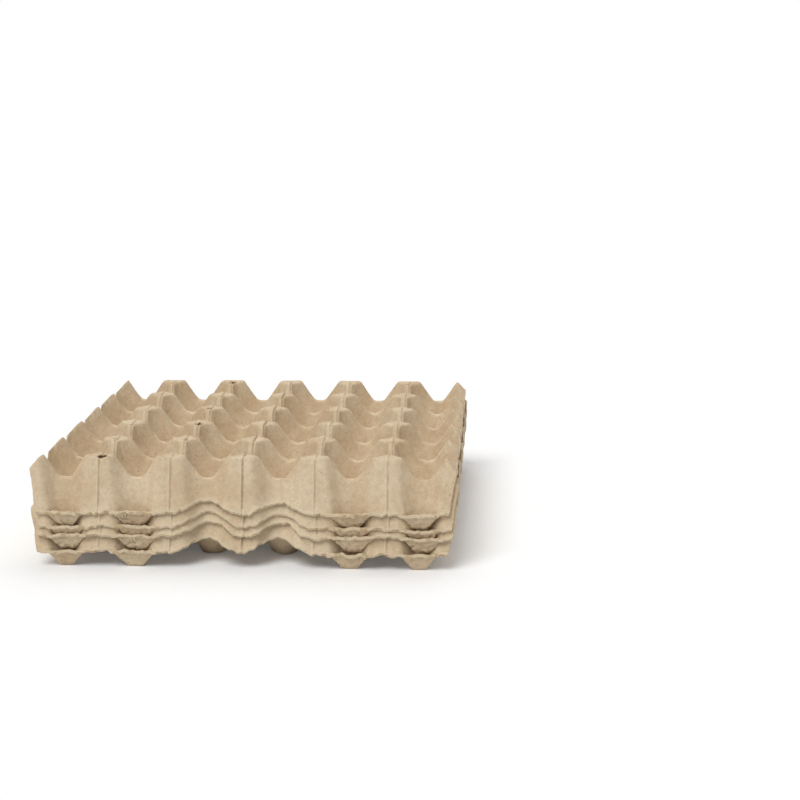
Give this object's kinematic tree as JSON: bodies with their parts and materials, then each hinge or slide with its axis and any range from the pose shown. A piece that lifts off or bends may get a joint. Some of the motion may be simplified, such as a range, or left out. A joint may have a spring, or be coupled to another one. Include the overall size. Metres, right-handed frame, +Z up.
{
  "type": "stack of pulp egg trays",
  "caption": "Nested stack of moulded pulp egg trays, with square-set cups, hollow posts, finger notches and drafted corrugated skirts.",
  "frame": {"origin": "middle of the stack's footprint, on the plane that the lowest cups and feet stand on", "axes": "+Z up, +X along the long sides of the trays, +Y across them"},
  "size_m": [0.292, 0.279, 0.0756],
  "materials": {
    "pulp": "moulded paper pulp, matte and fibrous"
  },
  "bodies": {
    "root": {"bottom_tray": "pulp", "lower_middle_tray": "pulp", "upper_middle_tray": "pulp", "top_tray": "pulp"}
  },
  "joints": []
}
